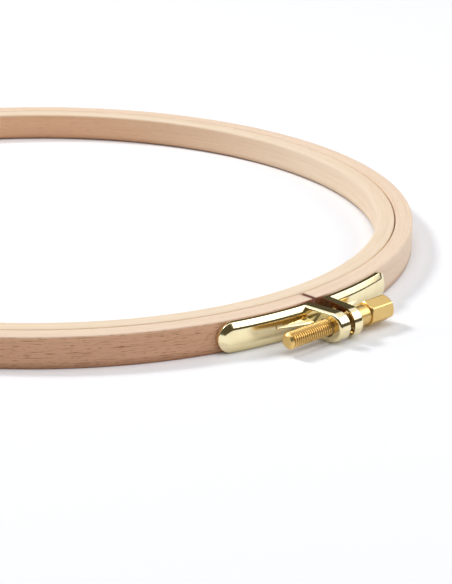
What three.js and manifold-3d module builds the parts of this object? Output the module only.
// A wooden embroidery hoop, lying flat with its clamp towards -Y.
//
// Two beech rings nest in each other and hold the cloth between them. The inner ring is closed.
// The outer ring is split, and a stamped brass bracket sits on each side of the slit. Each bracket
// is a thin shell bent to an L: its leg lies along the wood and its ear stands out from the ring.
// A brass screw with a hexagonal head passes freely through the right ear and is screwed into the
// left one, so turning it draws the ears together and tightens the outer ring.
//
// Millimetres, +Z up. The origin is the middle of the whole hoop's footprint, at table height.

import * as THREE from "three";
import { mergeVertices } from "three/addons/utils/BufferGeometryUtils.js";
import Module from "manifold-3d";

const wasm = await Module();
wasm.setup();

// The two rings, bent from flat beech strip
const OUTER_DIAMETER = 200; // over the outer ring, without the clamp
const OUTER_WALL = 4.6; // thickness of the outer ring
const INNER_WALL = 4.7; // thickness of the inner ring
const RING_GAP = 0.3; // between the rings, where the cloth goes
const RING_HEIGHT = 7.9;
const EDGE_RADIUS = 0.6; // the sanded edges of the strip
const SLIT_WIDTH = 1.3; // saw cut through the outer ring

// How finely the round forms are faceted
const RING_SIDES = 120;
const EDGE_STEPS = 1; // a sanded edge has twice as many facets
const TIP_STEPS = 8; // in a quarter of a bracket's round end
const BEND_STEPS = 8; // along a bracket's leg
const SEAT_SIDES = 480;
const HOLE_SIDES = 32;
const SCREW_SIDES = 36;
const HEAD_SIDES = 6; // the head is a hexagon

// The brackets, stamped from thin brass sheet
const SHEET = 0.55;
const BRACKET_HEIGHT = 7.2;
const BRACKET_DROP = 0.15; // how far the brackets' middle lies below the rings' middle
const SEAT_GAP = 0.3; // between the brass and the wood
const LEG_REACH = 29.3; // along the wood, from the middle of the slit to the leg's end
const LEG_PROUD = 1.7; // how far the leg's face stands off the wood
const LEG_RIM = 0.45; // upright rim of the leg, below its bevel
const LEG_BEVEL = 1.6; // width of the leg's sloping margin
const EAR_REACH = 12.5; // from the wood to the ear's tip
const EAR_FACE_ROOT = 4.9; // from the middle of the slit to the ear's outer face, at the wood
const EAR_FACE_TIP = 4; // and at its tip, which the screw has drawn inwards
const EAR_CORNER = 0.6; // rounded corner between the ear's wall and its outer face
const EAR_OPENING_ROOT = 2.35; // from the middle of the slit to the ear's open edge at the wood
const EAR_OPENING_TIP = 0.8; // and at its tip

// The pressed gusset that stiffens the bend between leg and ear
const GUSSET_LENGTH = 9.6; // along the leg, from the ear's outer face
const GUSSET_REACH = 2.3; // along the ear, from the leg's face
const GUSSET_HEIGHT = 1.9;
const GUSSET_LIFT = 0.2; // of its crest, over the bracket's middle

// The prongs inside each leg, driven into the wood
const PRONG_WIDTH = 2.4;
const PRONG_DEPTH = 2.6; // into the wood
const PRONG_PLACES = [10, 22]; // along the wood, from the middle of the slit
const PRONG_CLEARANCE = 0.3;

// The clamp screw, an M4 screw turned from hexagonal brass bar
const THREAD_DIAMETER = 4;
const SCREW_STANDOFF = 8; // from the wood to the screw's axis
const SCREW_CLEARANCE = 0.3; // between the thread and the holes in the ears
const THREAD_LENGTH = 22.7; // from the collar's face to the tip
const THREAD_CHAMFER = 0.6;
const COLLAR_DIAMETER = 5.1;
const COLLAR_LENGTH = 4.3;
const COLLAR_GAP = 0.3; // between the collar and the right ear
const HEAD_LENGTH = 8.2;
const HEAD_ACROSS_FLATS = 5.7;
const HEAD_CHAMFER = 1.1; // length of the turned chamfer at the head's free end
const HEAD_EDGE = 0.2; // length of the smaller one behind the collar
const HEAD_TURN = 8; // degrees that the hexagon stands turned from corner up, at rest
const NECK_WALL = 0.6; // wall of the tapped neck drawn inwards from the left ear's sheet
const NECK_LENGTH = 1.8; // how far the neck stands off the sheet

const OUTER_RADIUS = OUTER_DIAMETER / 2;
const SEAM_RADIUS = OUTER_RADIUS - OUTER_WALL;
const BRACKET_HALF = BRACKET_HEIGHT / 2;
const CLAMP_HEIGHT = RING_HEIGHT / 2 - BRACKET_DROP; // of the brackets' middle and the screw's axis
const CENTRE_Y = EAR_REACH / 2; // puts the origin midway between the ring's back and the ears' tips
const SCREW_RADIUS = OUTER_RADIUS + SCREW_STANDOFF;
const HOLE_RADIUS = THREAD_DIAMETER / 2 + SCREW_CLEARANCE;
const EAR_LEAN = (EAR_FACE_ROOT - EAR_FACE_TIP) / EAR_REACH; // inwards, for each millimetre outwards
const CUT = 1; // how far a cutting block runs past what it cuts

const BEECH = new THREE.MeshStandardMaterial({ color: 0xe8cdb0, roughness: 0.6, metalness: 0 });
const PALE_BRASS = new THREE.MeshStandardMaterial({ color: 0xe6d28c, roughness: 0.15, metalness: 1 });
const GOLD_BRASS = new THREE.MeshStandardMaterial({ color: 0xd9b066, roughness: 0.35, metalness: 1 });

// Positions are given on the ring: side runs along the slit's middle to the right, out is the
// distance from the ring's axis, and z is the height over the table.
const onRing = (side, out, z) => new THREE.Vector3(side, CENTRE_Y - out, z);

// From the middle of the slit to the ear's outer face, at a distance from the wood.
const earFaceAt = (along) => EAR_FACE_ROOT - EAR_LEAN * along;

// A closed three.js geometry as a solid that can be joined and cut.
function solid(geometry) {
  const bare = new THREE.BufferGeometry().setAttribute("position", geometry.getAttribute("position"));
  bare.setIndex(geometry.index);
  const merged = mergeVertices(bare, 1e-4);
  const made = new wasm.Manifold(
    new wasm.Mesh({
      numProp: 3,
      vertProperties: new Float32Array(merged.attributes.position.array),
      triVerts: new Uint32Array(merged.index.array),
    }),
  );
  if (made.volume() > 0) return made;
  for (let i = 0; i < merged.index.count; i += 3) {
    const first = merged.index.getX(i);
    merged.index.setX(i, merged.index.getX(i + 1));
    merged.index.setX(i + 1, first);
  }
  return solid(merged);
}

// A solid as a named mesh of the hoop.
function piece(name, shape, material) {
  const mesh = shape.getMesh();
  const geometry = new THREE.BufferGeometry();
  geometry.setAttribute("position", new THREE.BufferAttribute(mesh.vertProperties, 3));
  geometry.setIndex(new THREE.BufferAttribute(mesh.triVerts, 1));
  const flat = geometry.toNonIndexed();
  flat.computeVertexNormals();
  const made = new THREE.Mesh(flat, material);
  made.name = name;
  return made;
}

// A profile of [radius, length] points, revolved and laid along the screw's axis towards +X.
function turned(profile, sides, start = 0) {
  const points = profile.map((p) => new THREE.Vector2(...p));
  const geometry = new THREE.LatheGeometry(points, sides, start);
  geometry.rotateZ(-Math.PI / 2);
  const axis = onRing(0, SCREW_RADIUS, CLAMP_HEIGHT);
  return solid(geometry.translate(axis.x, axis.y, axis.z));
}

// One beech ring: a strip section with sanded edges, revolved about the ring's axis.
function ring(inside, outside) {
  const section = new THREE.Path();
  const r = EDGE_RADIUS;
  section.absarc(outside - r, r, r, -Math.PI / 2, 0);
  section.absarc(outside - r, RING_HEIGHT - r, r, 0, Math.PI / 2);
  section.absarc(inside + r, RING_HEIGHT - r, r, Math.PI / 2, Math.PI);
  section.absarc(inside + r, r, r, Math.PI, 1.5 * Math.PI);
  section.closePath();
  const geometry = new THREE.LatheGeometry(section.getPoints(EDGE_STEPS), RING_SIDES);
  geometry.rotateX(Math.PI / 2);
  return solid(geometry.translate(0, CENTRE_Y, 0));
}

// A pressed tray with one round end: a tongue of the given reach whose margin follows a profile of
// [half width, rise] steps. place(along, z, rise) bends it onto the wood or stands it up as an ear.
function tongue(reach, halfWidth, profile, place) {
  const stations = [];
  for (let i = 1; i <= TIP_STEPS; i += 1) {
    const turn = ((i / TIP_STEPS) * Math.PI) / 2;
    stations.push({ back: Math.cos(turn), half: Math.sin(turn), straight: 0 });
  }
  for (let i = 1; i <= BEND_STEPS; i += 1) {
    stations.push({ back: 0, half: 1, straight: i / BEND_STEPS });
  }
  const centre = reach - halfWidth; // the round end's middle stays put as the margin steps in
  const points = [];
  for (const [half, rise] of profile) {
    points.push(place(centre + half, 0, rise));
    for (const s of stations) {
      const along = (centre + half * s.back) * (1 - s.straight);
      points.push(place(along, half * s.half, rise), place(along, -half * s.half, rise));
    }
  }
  const ringSize = 2 * stations.length + 1;
  const faces = [];
  const quad = (a, b, c, d) => faces.push(a, b, c, a, c, d);
  for (let layer = 0; layer + 1 < profile.length; layer += 1) {
    const at = layer * ringSize;
    const up = at + ringSize;
    quad(at, at + 1, up + 1, up);
    quad(at + 2, at, up, up + 2);
    for (let i = 1; i + 2 < ringSize; i += 2) {
      quad(at + i, at + i + 2, up + i + 2, up + i);
      quad(at + i + 3, at + i + 1, up + i + 1, up + i + 3);
    }
    quad(at + ringSize - 2, at + ringSize - 1, up + ringSize - 1, up + ringSize - 2);
  }
  const top = (profile.length - 1) * ringSize;
  faces.push(0, 2, 1, top, top + 1, top + 2);
  for (let i = 1; i + 2 < ringSize; i += 2) {
    quad(i, i + 1, i + 3, i + 2);
    quad(top + i, top + i + 2, top + i + 3, top + i + 1);
  }
  const geometry = new THREE.BufferGeometry().setFromPoints(points);
  geometry.setIndex(faces);
  return solid(geometry);
}

// The hollow behind a tray's sheet: its profile, moved in by the sheet's thickness. It starts below
// the tray, so that cutting it out leaves the back open.
function hollowProfile(half, rise, bevelWidth, bevelRise) {
  const open = -SHEET;
  const slope = bevelWidth / bevelRise;
  const shift = SHEET * Math.hypot(1, slope); // along the width, for a bevel moved square to itself
  const floor = rise - SHEET;
  const bevelAt = (height) => half - (height - (rise - bevelRise)) * slope - shift;
  const kink = rise - bevelRise - (shift - SHEET) / slope; // where the rim's inner face meets the bevel
  if (kink <= open) return [[bevelAt(open), open], [bevelAt(floor), floor]];
  return [[half - SHEET, open], [half - SHEET, kink], [bevelAt(floor), floor]];
}

// One bracket, built for the right side (hand 1) or mirrored to the left (hand -1).
function bracket(hand, neckLength) {
  const legPlace = (along, z, rise) => {
    const angle = along / OUTER_RADIUS;
    const out = OUTER_RADIUS + rise;
    return onRing(hand * out * Math.sin(angle), out * Math.cos(angle), CLAMP_HEIGHT + z);
  };
  const earPlace = (along, z, rise) =>
    onRing(hand * (rise - EAR_LEAN * along), OUTER_RADIUS + along, CLAMP_HEIGHT + z);

  const bevelRise = LEG_PROUD - SEAT_GAP - LEG_RIM;
  const leg = tongue(LEG_REACH, BRACKET_HALF, [
    [BRACKET_HALF, SEAT_GAP],
    [BRACKET_HALF, SEAT_GAP + LEG_RIM],
    [BRACKET_HALF - LEG_BEVEL, LEG_PROUD],
  ], legPlace);
  const arc = EAR_CORNER * (1 - Math.SQRT1_2); // the rounded corner's middle, in from both faces
  const ear = tongue(EAR_REACH, BRACKET_HALF, [
    [BRACKET_HALF, 0],
    [BRACKET_HALF, EAR_FACE_ROOT - EAR_CORNER],
    [BRACKET_HALF - arc, EAR_FACE_ROOT - arc],
    [BRACKET_HALF - EAR_CORNER, EAR_FACE_ROOT],
  ], earPlace);
  const legHollow = tongue(LEG_REACH, BRACKET_HALF,
    hollowProfile(BRACKET_HALF, LEG_PROUD, LEG_BEVEL, bevelRise), legPlace);
  const earHollow = tongue(EAR_REACH, BRACKET_HALF,
    hollowProfile(BRACKET_HALF, EAR_FACE_ROOT, EAR_CORNER, EAR_CORNER), earPlace);

  // What lies on the open side of the ear's edge, and behind the leg's seat, isn't brass. The ear's
  // edge leans, so it is drawn in the plane of the hoop, from well inside the ring to past its tip.
  const tip = EAR_REACH + CUT;
  const lean = (EAR_OPENING_ROOT - EAR_OPENING_TIP) / EAR_REACH;
  const edge = (along) => hand * (EAR_OPENING_ROOT - lean * along);
  const openSide = new THREE.Shape([
    new THREE.Vector2(edge(-EAR_REACH), -EAR_REACH),
    new THREE.Vector2(edge(tip), tip),
    new THREE.Vector2(-hand * EAR_REACH, tip),
    new THREE.Vector2(-hand * EAR_REACH, -EAR_REACH),
  ]);
  const depth = BRACKET_HEIGHT + 2 * CUT;
  const openBlock = new THREE.ExtrudeGeometry(openSide, { depth, bevelEnabled: false });
  openBlock.scale(1, -1, 1); // the shape's second axis points out of the ring
  openBlock.translate(0, CENTRE_Y - OUTER_RADIUS, CLAMP_HEIGHT - depth / 2);
  const seatRadius = OUTER_RADIUS + SEAT_GAP;
  const seat = new THREE.CylinderGeometry(seatRadius, seatRadius, depth, SEAT_SIDES);
  seat.rotateX(Math.PI / 2).translate(0, CENTRE_Y, CLAMP_HEIGHT);

  let shell = leg.add(ear).subtract(legHollow.add(earHollow));
  shell = shell.add(gusset(hand, 0)).subtract(gusset(hand, SHEET));
  // A bar along the screw's axis, whose ends lie parallel to the leaning ear.
  const roundBar = (radius, from, to) => {
    const bar = new THREE.CylinderGeometry(radius, radius, to - from, HOLE_SIDES);
    bar.rotateZ((-hand * Math.PI) / 2).translate((hand * (from + to)) / 2, 0, 0);
    const shear = new THREE.Matrix4().makeShear(0, 0, hand * EAR_LEAN, 0, 0, 0);
    const axis = onRing(0, SCREW_RADIUS, CLAMP_HEIGHT);
    return solid(bar.applyMatrix4(shear).translate(axis.x, axis.y, axis.z));
  };
  if (neckLength > 0) {
    const foot = earFaceAt(SCREW_STANDOFF) - SHEET;
    shell = shell.add(roundBar(HOLE_RADIUS + NECK_WALL, foot - neckLength, foot + SHEET / 2));
  }
  shell = shell.subtract(roundBar(HOLE_RADIUS, 0, EAR_FACE_ROOT + CUT));
  shell = shell.subtract(solid(openBlock)).subtract(solid(seat));
  for (const along of PRONG_PLACES) shell = shell.add(prong(hand, along, 0));
  return shell;
}

// The gusset is a spear-shaped ridge pressed out of the bend: its crest runs from a point on the
// leg's face out to the ear. Drawn back by the sheet's thickness, it is the hollow behind the ridge.
function gusset(hand, back) {
  const half = GUSSET_HEIGHT / 2 - back;
  const face = OUTER_RADIUS + LEG_PROUD;
  const sink = SHEET / 2 + back; // its back edges run into the sheet, or past it
  const root = earFaceAt(LEG_PROUD);
  const legAt = (side) => Math.sqrt(face * face - side * side) - sink;
  const far = root + GUSSET_LENGTH - back;
  const crest = CLAMP_HEIGHT + GUSSET_LIFT;
  const points = [
    onRing(hand * far, legAt(far), crest),
    onRing(hand * (earFaceAt(LEG_PROUD + GUSSET_REACH) - sink), face + GUSSET_REACH - back, crest),
    onRing(hand * (root - sink), legAt(root), crest + half),
    onRing(hand * (root - sink), legAt(root), crest - half),
  ];
  const geometry = new THREE.BufferGeometry().setFromPoints(points);
  geometry.setIndex([0, 1, 2, 0, 3, 1, 1, 3, 2, 0, 2, 3]);
  return solid(geometry);
}

// A prong runs from the leg's sheet into the wood; the ring's pockets are the same, grown by a gap.
function prong(hand, along, grow) {
  const half = PRONG_WIDTH / 2 + grow;
  const thick = SHEET / 2 + grow;
  const low = onRing(-thick, OUTER_RADIUS - PRONG_DEPTH - grow, -half);
  const high = onRing(thick, OUTER_RADIUS + LEG_PROUD - SHEET / 2, half);
  const geometry = new THREE.BoxGeometry(2 * thick, low.y - high.y, 2 * half);
  geometry.translate(0, (low.y + high.y) / 2 - CENTRE_Y, 0);
  geometry.rotateZ((hand * along) / OUTER_RADIUS);
  return solid(geometry.translate(0, CENTRE_Y, CLAMP_HEIGHT));
}

// The outer ring, sawn through at the slit and pierced by the brackets' prongs.
function outerRing() {
  const saw = new THREE.BoxGeometry(SLIT_WIDTH, OUTER_WALL + 2 * CUT, RING_HEIGHT + 2 * CUT);
  const cutAt = onRing(0, SEAM_RADIUS + OUTER_WALL / 2, RING_HEIGHT / 2);
  let shape = ring(SEAM_RADIUS, OUTER_RADIUS);
  shape = shape.subtract(solid(saw.translate(cutAt.x, cutAt.y, cutAt.z)));
  for (const hand of [-1, 1]) {
    for (const along of PRONG_PLACES) {
      shape = shape.subtract(prong(hand, along, PRONG_CLEARANCE));
    }
  }
  return shape;
}

// The screw: threaded shank, collar, and a hexagonal head whose free end is turned to a chamfer.
function clampScrew() {
  const neck = COLLAR_DIAMETER / 2;
  const collar = earFaceAt(SCREW_STANDOFF - neck) + COLLAR_GAP;
  const head = collar + COLLAR_LENGTH;
  const end = head + HEAD_LENGTH;
  const tip = collar - THREAD_LENGTH;
  const thread = THREAD_DIAMETER / 2;
  const flat = HEAD_ACROSS_FLATS / 2;
  const corner = flat / Math.cos(Math.PI / HEAD_SIDES);
  const core = head + HEAD_LENGTH / 2; // the collar's bar runs on into the head
  const shank = turned([
    [0, tip], [thread - THREAD_CHAMFER, tip], [thread, tip + THREAD_CHAMFER],
    [thread, collar], [neck, collar], [neck, core], [0, core],
  ], SCREW_SIDES);
  const start = -THREE.MathUtils.degToRad(HEAD_TURN);
  const hexagon = turned([[0, head], [corner, head], [corner, end], [0, end]], HEAD_SIDES, start);
  const envelope = turned([
    [0, head], [flat, head], [corner, head + HEAD_EDGE],
    [corner, end - HEAD_CHAMFER], [corner - HEAD_CHAMFER, end], [0, end],
  ], SCREW_SIDES);
  return shank.add(hexagon.intersect(envelope));
}

const innerRadius = SEAM_RADIUS - RING_GAP; // over the inner ring
const hoop = new THREE.Group();
hoop.add(piece("outer_ring", outerRing(), BEECH));
hoop.add(piece("inner_ring", ring(innerRadius - INNER_WALL, innerRadius), BEECH));
hoop.add(piece("left_bracket", bracket(-1, NECK_LENGTH), PALE_BRASS));
hoop.add(piece("right_bracket", bracket(1, 0), PALE_BRASS));
hoop.add(piece("clamp_screw", clampScrew(), GOLD_BRASS));

export default hoop;
